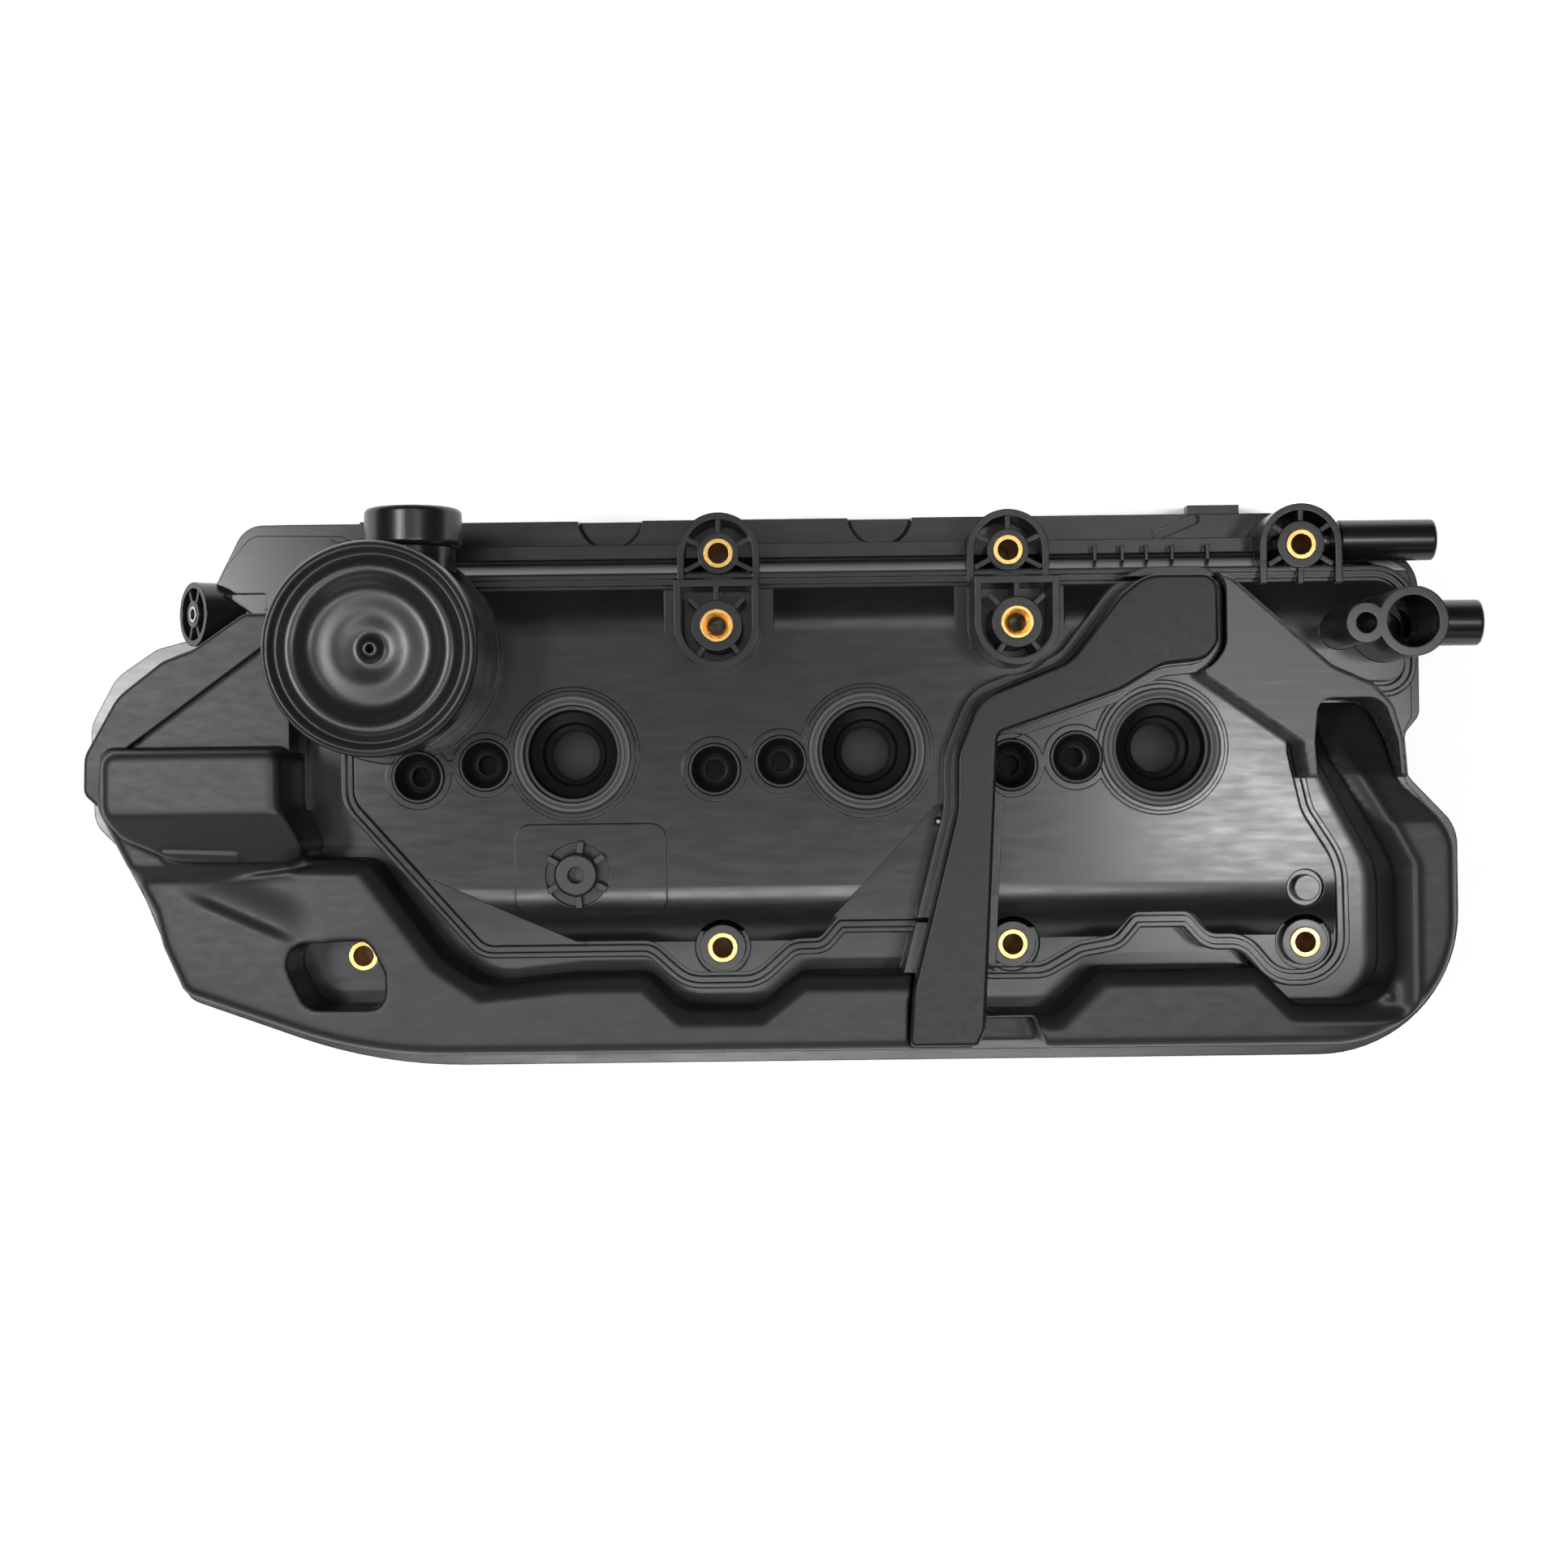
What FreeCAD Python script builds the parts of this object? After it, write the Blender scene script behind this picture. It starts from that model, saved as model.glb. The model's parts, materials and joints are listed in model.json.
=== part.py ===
import FreeCAD, Part
import math
import os

# Moulded cam cover for one bank of three cylinders, with its oil separator and
# crankcase pressure valve. Millimetres, +Z up. The origin is on the gasket plane,
# on the axis of the middle injector bore. +X runs along the engine.

V = FreeCAD.Vector
UP = V(0, 0, 1)

# ---- driving dimensions ------------------------------------------------------
BORE_PITCH = 90.0
INJECTOR_X = (-BORE_PITCH, 0.0, BORE_PITCH)
WALL = 3.0
FIT = 0.05

FLANGE_TOP = 8.0
BASE_TOP = 20.0
SHOULDER_TOP = 30.0
PLATEAU_TOP = 35.0
PLATEAU_EDGE_Y = (-41.0, 36.0)
DECK_EDGE_Y = (-58.0, 50.9)
EDGE_ROLL_R = 34.0
FACET_TOP = 29.5

DUCT_TOP = 46.0
BLOCK_TOP = 60.0
BOX_TOP = 42.0
BRIDGE_TOP = 46.0
CHANNEL_BASE = 43.0
CHANNEL_TOP = 52.0
CHANNEL_FOOT_Y = -67.7

BOLT_TOP_Y = 61.2
BOLT_BOTTOM_Y = -59.8
BOLT_X = (-44.8, 44.2)
END_BOLT_X = 134.0
WINDOW_BOLT = (-157.4, -62.0)
STRUT_BOSS = (-153.9, 60.5)
BOLT_SEAT = 33.0
WINDOW_SEAT = 20.0
SLEEVE_R = 4.5
SLEEVE_BORE_R = 3.2

TOWER_Y = 37.3
TOWER_TOP = 59.0
PILLAR_R = 12.6
INSERT_R = 4.8
INSERT_BORE_R = 2.6

WELL_R = 12.0
WELL_TOP = 36.2
SEAL_RING_R = 18.0
SEAL_RING_BORE_R = 14.5
SEAL_LIP_R = 7.5

CLAMP_GROMMETS = ((-137.3, -6.4), (-46.6, -5.1), (44.2, -4.8))
LEAKOFF_GROMMETS = ((-116.7, -3.0), (-26.3, -2.9), (64.0, -2.7))
GROMMET_RIM_R = 8.0
GROMMET_R = 7.2
PLINTH_TOP = PLATEAU_TOP + 0.5

PCV = (-144.3, 30.6)
PCV_BODY_R = 30.0
PCV_CAP_R = 31.4
PEDESTAL_R = 33.0
PEDESTAL_TOP = 36.0
PCV_FLOOR = PEDESTAL_TOP + 0.5
PCV_RIM = 72.0
PCV_CAP_TOP = 79.5
PCV_SEAT = 60.0
PCV_TRAVEL = 3.0

OUTLET_X = -135.3
OUTLET_Z = 52.0
OUTLET_R = 14.5
OUTLET_NECK_R = 12.4
OUTLET_BORE_R = 11.5
OUTLET_FACE_Y = 61.85
OUTLET_END_Y = 73.5
SEAL_Y = 68.0

SOCKET = (158.5, 35.4)
SOCKET_SCREW = (144.8, 35.1)
SOCKET_R = 10.3
SOCKET_BORE_R = 7.6
SOCKET_TOP = 70.0

PEG = (133.8, -43.5)
CLIP = (-89.0, -36.8)
CLIP_SEAT = 34.0
CLIP_TOP = 41.0
CLIP_TAB_ANGLES = (82, 34, -27, -86, -150, 150)
LUG = (-208.8, 45.2, 22.5)
LUG_LEAN = -52
BYPASS = (-201.0, -51.0)
DRAIN = (-187.5, -64.0)
BAFFLE_Z = 20.0
BAFFLE_GAP = 16.0
RAIL_RIB_X = (72.0, 80.5, 88.0, 96.0, 107.0)
SCALLOP_X = (-79.7, 6.0)
BAFFLE_SCREWS = tuple((x, y) for x in (-68, 22, 112) for y in (-22, 22))
SCREW_R = 1.3

PIPE_UPPER = (63.8, 22.0, 6.4)
PIPE_LOWER = (37.0, 35.0, 7.0)
PIPE_BORE_R = 4.5

# ---- plan outlines: (x, y, corner radius), anticlockwise -----------------------
FLANGE = [
    (-154.5, -97.8, 160), (188.2, -97.8, 45), (188.2, -26, 14), (172, -9, 9),
    (172, 4, 4), (176.6, 9.5, 5), (176.6, 59, 13), (131, 74.3, 8), (-195.5, 74.3, 9),
    (-207, 51.5, 6), (-211.5, 38.5, 3), (-224, 35.3, 8), (-237, 26.5, 14),
    (-245.3, 11, 12), (-244.4, -20, 9), (-237.5, -27, 6), (-222.5, -56, 20), (-215, -76, 7),
]
BASE = [
    (-152, -93.4, 155), (183.8, -93.4, 41), (183.8, -27.5, 12), (168.2, -11, 8),
    (168.2, 3.5, 4), (171, 8.5, 4), (171, 56, 8), (148, 65.5, 4), (-174, 65.5, 4),
    (-185, 40, 4), (-211, 33, 8), (-230, 21, 12), (-237.5, 7, 8), (-236, -17, 8),
    (-213.5, -73, 6),
]
DECK = [
    (-117.6, -57.6, 5), (-66, -57.6, 9), (-55, -67.6, 9), (-35, -67.6, 9),
    (-24, -57.6, 9), (-15, -57.4, 3), (-9.5, -51, 3), (27, -51, 4), (35.5, -65.8, 5),
    (53.5, -65.8, 8), (64.5, -59.5, 10), (75.5, -57.6, 5), (81.5, -50.5, 4),
    (99.2, -50.5, 4), (105.5, -57.6, 5), (117, -57.6, 12), (126.5, -69, 9),
    (143.5, -69, 10), (143, -36.5, 20), (132.8, -20.5, 16), (128.6, -2, 8),
    (129, 14, 5), (137, 19.6, 5), (165, 19.6, 5), (165, 50.5, 8), (-157, 50.5, 4), (-157, -13.2, 8),
]
SEPARATOR_OUTER = [
    (-152, -90.6, 150), (177.4, -90.6, 38), (177.4, -26, 16), (160.5, -10.5, 10),
    (158.6, 2, 6), (154.5, 13.4, 6), (137, 13.4, 4), (141, -4, 30), (159.2, -38, 22),
    (159.2, -78.6, 13), (129, -78.6, 7), (118, -67.4, 7), (70, -67.4, 8),
    (56.5, -80.4, 5), (35, -80.4, 3), (35, -67.8, 3), (-20.5, -67.8, 6),
    (-33.5, -78, 8), (-56.5, -78, 8), (-67.5, -67.4, 8), (-91, -67.4, 12),
    (-117, -70, 12), (-130, -61, 10), (-152, -31, 8), (-172, -31, 5),
    (-175.6, -14, 8), (-175.6, 3.4, 4), (-232, 3.4, 4), (-233.4, -15, 8),
    (-217, -47, 6), (-214.6, -57, 6), (-208, -71.5, 6),
]
BLOCK = [
    (-223, -24, 8), (-207, -31.5, 8), (-167.5, -31.5, 5), (-174.6, -14, 8),
    (-174.6, 2.4, 4), (-228, 2.4, 5), (-228.2, -16, 8),
]
WINDOW = [
    (-170.5, -76.5, 8), (-146.5, -76.5, 5), (-146.5, -66, 6), (-151.5, -55.6, 5),
    (-175, -56.6, 5), (-176.5, -63.5, 7),
]
END_BOX = [
    (-176, -16.5, 1), (-176, 43.9, 3), (-188.7, 43.9, 6),
    (-204.5, 33, 10), (-213.5, 29.8, 12), (-227.5, 19, 16), (-237.7, 1, 8),
    (-238, -10.5, 4), (-231.5, -16.5, 2),
]
END_BOX_PANEL = [
    (-227.5, 1.5, 0.6), (-174, 1.5, 0.6), (-174, 40.5, 1),
]
TOP_PLATE = [
    (-160, 40, 1), (-160, 69, 3), (-190.5, 69.5, 6), (-198.5, 60, 6), (-203.6, 50.5, 4),
    (-207.5, 40, 3), (-198, 30, 1),
]
TOP_PLATE_RECESS = [
    (-200.5, 51.5, 0.8), (-186, 42, 0.8), (-186, 51.5, 0.8),
]
LEFT_FACET = [
    (-134.6, -37.4, 0.5), (-137.5, -42, 0.5), (-119, -62, 0.5), (-88, -58.4, 0.5),
]
RIGHT_FACET = [
    (21, -16.6, 0.5), (-11.4, -51.4, 0.5), (24.5, -51.4, 0.5), (24.5, -16.6, 0.5),
]
CHANNEL = [
    (11.4, -89, 1.5), (31.8, -89, 1.5), (34, -84, 3), (38.8, 4.6, 3), (75.5, 17, 14),
    (88.5, 24.6, 14), (101.5, 25.8, 7), (105.2, 31, 5), (105.2, 51.6, 5), (83.5, 51.6, 12),
    (75.8, 45.5, 14), (60.6, 26, 14), (33.5, 15.3, 12), (26.4, -2, 14),
    (26.2, -18.7, 30), (12.5, -72, 30),
]
BRIDGE = [
    (101.5, 21, 2), (130.6, 0.5, 2), (132.4, -10, 0.6), (162.7, -10, 0.6), (161.8, 1.5, 8),
    (158.8, 12, 8), (152.5, 18.6, 5), (140, 24.2, 8), (110.5, 50.8, 6), (99.5, 55, 3),
]
BRIDGE_POCKET = [
    (135.2, -12, 0.5), (160.7, -12, 0.5), (159.6, 1, 8), (155.4, 14.2, 6.5),
    (135.6, 14.2, 5), (134.4, 1, 6),
]
# Right end of the duct, which dips under the bridge: (y, height of its top).
RAMP = [(-24, DUCT_TOP), (-9, 41.0), (15, 23.5)]
RAMP_X = (132, 180)
CLIP_PAD = [
    (-108, -49.3, 5), (-61.6, -49.3, 5), (-61.6, -21.4, 5), (-108, -21.4, 5),
]
BAFFLE = [
    (-133, -28, 5), (120, -28, 5), (120, 28, 5), (-146, 28, 5), (-146, -14, 5),
]


# ---- drawing helpers -----------------------------------------------------------
def rounded_wire(points, z):
    """A closed wire through the corners, each rounded by its own radius."""
    count = len(points)
    ends = []
    for i in range(count):
        x, y, radius = points[i]
        here = V(x, y, z)
        before = V(points[i - 1][0], points[i - 1][1], z)
        after = V(points[(i + 1) % count][0], points[(i + 1) % count][1], z)
        back = (before - here).normalize()
        ahead = (after - here).normalize()
        half = back.getAngle(ahead) / 2
        reach = radius / math.tan(half)
        middle = (back + ahead).normalize()
        top = here + middle * (radius / math.sin(half) - radius)
        ends.append((here + back * reach, top, here + ahead * reach))
    edges = []
    for i in range(count):
        start, top, end = ends[i]
        edges.append(Part.Arc(start, top, end).toShape())
        following = ends[(i + 1) % count][0]
        after = points[(i + 1) % count]
        run = V(after[0] - points[i][0], after[1] - points[i][1], 0)
        if (following - end).dot(run) < -1e-4:
            raise ValueError(f"the corners at points {i} and {i + 1} overlap")
        if end.distanceToPoint(following) > 1e-4:
            edges.append(Part.LineSegment(end, following).toShape())
    return Part.Wire(edges)


def offset(points, distance):
    """The same outline moved outward by distance; negative moves it inward."""
    count = len(points)
    result = []
    for i in range(count):
        x, y, radius = points[i]
        x0, y0, _ = points[i - 1]
        x1, y1, _ = points[(i + 1) % count]
        d0 = V(x - x0, y - y0, 0).normalize()
        d1 = V(x1 - x, y1 - y, 0).normalize()
        n0 = V(d0.y, -d0.x, 0)
        n1 = V(d1.y, -d1.x, 0)
        bisector = n0 + n1
        shift = bisector * (distance / (1 + n0.dot(n1)))
        turn = d0.cross(d1).z
        new_radius = radius + distance if turn > 0 else radius - distance
        result.append((x + shift.x, y + shift.y, max(new_radius, 0.4)))
    return result


def prism(points, z0, z1):
    return Part.Face(rounded_wire(points, z0)).extrude(UP * (z1 - z0))


def rod(x, y, z0, z1, radius):
    return Part.makeCylinder(radius, z1 - z0, V(x, y, z0), UP)


def ring(x, y, z0, z1, outer, inner):
    return rod(x, y, z0, z1, outer).cut(rod(x, y, z0 - 1, z1 + 1, inner))


def rod_along(axis, start, length, radius):
    return Part.makeCylinder(radius, length, start, axis)


def box(x0, x1, y0, y1, z0, z1):
    return Part.makeBox(x1 - x0, y1 - y0, z1 - z0, V(x0, y0, z0))


def turned(profile, x, y):
    """Revolve an (r, z) outline about the vertical axis through (x, y)."""
    corners = [V(x + r, y, z) for r, z in profile]
    face = Part.Face(Part.makePolygon(corners + [corners[0]]))
    return face.revolve(V(x, y, 0), UP, 360)


def profile_along_x(points, x0, x1):
    """Extrude a (y, z) polygon along X."""
    corners = [V(x0, y, z) for y, z in points]
    face = Part.Face(Part.makePolygon(corners + [corners[0]]))
    return face.extrude(V(x1 - x0, 0, 0))


def rounded_top(solid, z, radius):
    """Round the outside edges of a prism's top face."""
    edges = []
    for edge in solid.Edges:
        box_ = edge.BoundBox
        if box_.ZMin > z - 0.01:
            edges.append(edge)
    return solid.makeFillet(radius, edges)


def fused(solids):
    return solids[0].multiFuse(solids[1:])


def coil(x, y, z0, z1, radius, wire, turns):
    """A closed-ended compression spring as one swept helix."""
    pitch = (z1 - z0 - 2 * wire) / turns
    path = Part.makeHelix(pitch, z1 - z0 - 2 * wire, radius)
    path.translate(V(x, y, z0 + wire))
    circle = Part.Circle(V(x + radius, y, z0 + wire), V(0, 1, 0), wire)
    section = Part.Wire(circle.toShape())
    return Part.Wire(path).makePipeShell([section], True, True)


# ---- cover moulding ------------------------------------------------------------
def deck_profile(drop, x0, x1):
    """The roof: a flat plateau whose long edges roll down to the ribbed shoulder."""
    top = PLATEAU_TOP - drop
    radius = EDGE_ROLL_R - drop

    def roll(start, edge):
        sign = math.copysign(1, edge)
        angle = math.asin((abs(edge) - drop - abs(start)) / radius)
        points = []
        for share in (0, 0.5, 1):
            rise = radius * math.cos(angle * share) - radius
            points.append(V(x0, start + sign * radius * math.sin(angle * share), top + rise))
        return points

    bottom = roll(PLATEAU_EDGE_Y[0], DECK_EDGE_Y[0])
    above = roll(PLATEAU_EDGE_Y[1], DECK_EDGE_Y[1])
    edges = [
        Part.Arc(above[2], above[1], above[0]).toShape(),
        Part.LineSegment(above[0], bottom[0]).toShape(),
        Part.Arc(bottom[0], bottom[1], bottom[2]).toShape(),
    ]
    outline = [
        bottom[2], V(x0, -75, bottom[2].z), V(x0, -75, 5), V(x0, 60, 5), V(x0, 60, above[2].z),
        above[2],
    ]
    for a, b in zip(outline, outline[1:]):
        edges.append(Part.LineSegment(a, b).toShape())
    return Part.Face(Part.Wire(edges)).extrude(V(x1 - x0, 0, 0))


def top_rail():
    """Stepped slope between the top shoulder and the flange."""
    steps = [
        (50, 5), (50, SHOULDER_TOP), (55.6, SHOULDER_TOP), (58.6, 24.4), (59.8, 24.0),
        (61.8, 17.2), (62.9, 16.8), (65.5, FLANGE_TOP - 1), (65.5, 5),
    ]
    return profile_along_x(steps, -174, 148)


def rail_ribs():
    """Small cross ribs that stiffen the stepped slope near its right end."""
    return [box(x - 0.5, x + 0.5, 55, 63, 10, 25) for x in RAIL_RIB_X]


def scallop(x):
    """Round scoop that bites into the flange's top edge and the wall behind it."""
    return Part.makeCone(9.5, 13, 14, V(x, 75.6, FLANGE_TOP - 4), UP)


def oblique_scoop():
    """Long narrow scoop that runs slantwise across the flange."""
    cutter = box(-8, 8, -1.7, 1.7, FLANGE_TOP - 3, FLANGE_TOP + 1)
    cutter = cutter.makeFillet(1.6, [e for e in cutter.Edges if e.BoundBox.ZLength > 3])
    cutter.rotate(V(0, 0, 0), UP, 22)
    cutter.translate(V(100, 70.4, 0))
    return cutter


def boss_walls(x, y, top, foot, outer, hub, angles):
    """A hub and the thin ribs that run out to its wall."""
    parts = [rod(x, y, foot, top, hub)]
    for angle in angles:
        rib = box(0, outer - 1, -0.8, 0.8, foot, top - 0.4)
        rib.rotate(V(0, 0, 0), UP, angle)
        rib.translate(V(x, y, 0))
        parts.append(rib)
    return parts


def clear_column(x, y, z0, z1, radius, straight_to):
    """A round column, run straight along -Y or +Y to straight_to."""
    low, high = sorted((y, straight_to))
    return rod(x, y, z0, z1, radius).fuse(box(x - radius, x + radius, low, high, z0, z1))


def pillar(x):
    """Bolt boss and threaded tower that share one long outline."""
    split = 49.8
    bolt_top = BOLT_SEAT
    outer = clear_column(x, BOLT_TOP_Y, 2, bolt_top, PILLAR_R, split)
    hollow = clear_column(x, BOLT_TOP_Y, 14, bolt_top + 1, PILLAR_R - 2.1, split + 1)
    bolt_half = outer.cut(hollow)
    keep = outer.common(box(x - 20, x + 20, split, 90, 0, bolt_top))
    ribs = boss_walls(x, BOLT_TOP_Y, bolt_top, 10, PILLAR_R, 6.4, (90, 155, 25, 207, 333, 270))
    bolt_half = fused([bolt_half] + [rib.common(keep) for rib in ribs])

    tower = clear_column(x, TOWER_Y, 30, TOWER_TOP, PILLAR_R, split + 1.2)
    well = clear_column(x, TOWER_Y, 39, TOWER_TOP + 1, PILLAR_R - 2.1, split - 0.9)
    walls = tower.cut(well)
    ribs = boss_walls(x, TOWER_Y, TOWER_TOP, 38, PILLAR_R, 7.5, (90, 135, 45, 238, 308))
    tower = fused([walls] + [rib.common(tower) for rib in ribs])
    return [bolt_half, tower]


def end_boss():
    """Arched bolt boss, open along its straight side."""
    x, y = END_BOLT_X, BOLT_TOP_Y + 0.5
    outer = clear_column(x, y, 2, BOLT_SEAT + 1, PILLAR_R, 50)
    hollow = clear_column(x, y, 13, BOLT_SEAT + 2, PILLAR_R - 2.1, 48)
    walls = boss_walls(x, y, BOLT_SEAT + 1, 10, PILLAR_R, 7.2, (90, 35, 145, 328, 212, 270))
    return [outer.cut(hollow)] + [wall.common(outer) for wall in walls]


def leaning(shape):
    """Place a shape drawn on the origin at the lug, tilted outward."""
    shape.rotate(V(0, 0, 0), V(0, 1, 0), LUG_LEAN)
    shape.translate(V(*LUG))
    return shape


def mounting_lug():
    """Side lug with a ribbed boss that leans outward."""
    parts = [ring(0, 0, -9, 0, 10, 8.2), rod(0, 0, -9, 0, 4.2)]
    for angle in (65, 115, 245, 295):
        rib = box(0, 9, -0.7, 0.7, -9, -0.4)
        rib.rotate(V(0, 0, 0), UP, angle)
        parts.append(rib)
    parts.append(rod(0, 0, -13, -8, 10))
    body = fused(parts).cut(rod(0, 0, -20, 5, 2.6))
    return leaning(body)


def valve_socket_walls():
    x, y = SOCKET
    sx, sy = SOCKET_SCREW
    body = [
        rod(x, y, 26, SOCKET_TOP, SOCKET_R),
        rod(sx, sy, 32, SOCKET_TOP, 5.9),
        box(sx, x, y - 3.8, y + 3.8, 32, SOCKET_TOP - 0.6),
        rod_along(V(1, 0, 0), V(160, PIPE_LOWER[0], PIPE_LOWER[1]), 10, PIPE_LOWER[2] + 1.5),
        rod_along(V(1, 0, 0), V(140, PIPE_UPPER[0], PIPE_UPPER[1]), 8, PIPE_UPPER[2] - 1),
    ]
    return body


def cover_cuts():
    cuts = []
    for x in INJECTOR_X:
        cuts.append(rod(x, 0, -1, WELL_TOP + 12, WELL_R))
        cuts.append(rod(x, 0, 12, WELL_TOP + 12, SEAL_RING_BORE_R + FIT))
        cuts.append(rod(x, 0, 24, WELL_TOP + 12, SEAL_RING_R + FIT))
    for x, y in CLAMP_GROMMETS + LEAKOFF_GROMMETS:
        cuts.append(rod(x, y, -1, WELL_TOP + 12, 5.5))
        cuts.append(rod(x, y, 22, WELL_TOP + 12, GROMMET_R + FIT))
        cuts.append(rod(x, y, PLATEAU_TOP, WELL_TOP + 12, GROMMET_RIM_R + FIT))
    for x, y, seat in bolt_places():
        cuts.append(rod(x, y, -1, seat + 1, SLEEVE_R + FIT))
    for x in BOLT_X:
        cuts.append(rod(x, TOWER_Y, 40, TOWER_TOP + 1, INSERT_R + FIT))
    cuts.append(rod(SOCKET[0], SOCKET[1], 29, SOCKET_TOP + 1, SOCKET_BORE_R))
    cuts.append(rod(SOCKET_SCREW[0], SOCKET_SCREW[1], 50, SOCKET_TOP + 1, 3.0))
    start = V(SOCKET[0], PIPE_LOWER[0], PIPE_LOWER[1])
    cuts.append(rod_along(V(1, 0, 0), start, 20, PIPE_BORE_R))
    start = V(148, PIPE_UPPER[0], PIPE_UPPER[1])
    cuts.append(rod_along(V(1, 0, 0), start, 40, PIPE_UPPER[2] + 3))
    cuts.append(leaning(rod(0, 0, -12, 5, 2.6)))
    for x in INJECTOR_X:
        cuts.append(ring(x, 0, -1, 2, 16.4, 13.6))
    return cuts


def bolt_places():
    """Every perimeter bolt as (x, y, seat height)."""
    places = []
    for x in BOLT_X:
        places.append((x, BOLT_TOP_Y, BOLT_SEAT))
        places.append((x, BOLT_BOTTOM_Y, BOLT_SEAT))
    places.append((END_BOLT_X, BOLT_TOP_Y + 0.5, BOLT_SEAT + 1))
    places.append((END_BOLT_X, BOLT_BOTTOM_Y - 0.5, BOLT_SEAT))
    places.append((WINDOW_BOLT[0], WINDOW_BOLT[1], WINDOW_SEAT))
    return places


def low_bosses():
    """Solid columns that stand in the shell under the lower bolts."""
    columns = []
    grooves = []
    for x, y, seat in bolt_places():
        if y < 0 and seat > WINDOW_SEAT:
            columns.append(rod(x, y, 0, seat, 7.0))
            grooves.append(ring(x, y, SHOULDER_TOP - 1.2, seat + 2, 8.6, 7.0))
        elif y < 0:
            columns.append(rod(x, y, 0, seat, 7.5))
            columns.append(rod(x, y, 0, seat - 3, 11))
        else:
            columns.append(rod(x, y, 0, 14, 7.5))
    return columns, grooves


def seal_plinths():
    """Low plinths that tie each injector ring to the two grommets beside it."""
    plinths = []
    for x, clamp, leak in zip(INJECTOR_X, CLAMP_GROMMETS, LEAKOFF_GROMMETS):
        plinths.append(rod(x, 0, 30, PLINTH_TOP, 20.6))
        plinths.append(rod(clamp[0], clamp[1], 30, PLINTH_TOP, 10))
        plinths.append(rod(leak[0], leak[1], 30, PLINTH_TOP, 10))
        plinths.append(box(clamp[0], x, -5.5, -1.5, 30, PLINTH_TOP))
    return plinths


def separator_footprint():
    """Space of the tall block and duct above the cover's base, with a small gap round it."""
    block = prism(offset(BLOCK, FIT), BASE_TOP, BLOCK_TOP)
    return block.fuse(prism(offset(SEPARATOR_OUTER, FIT), BASE_TOP, DUCT_TOP))


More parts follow.
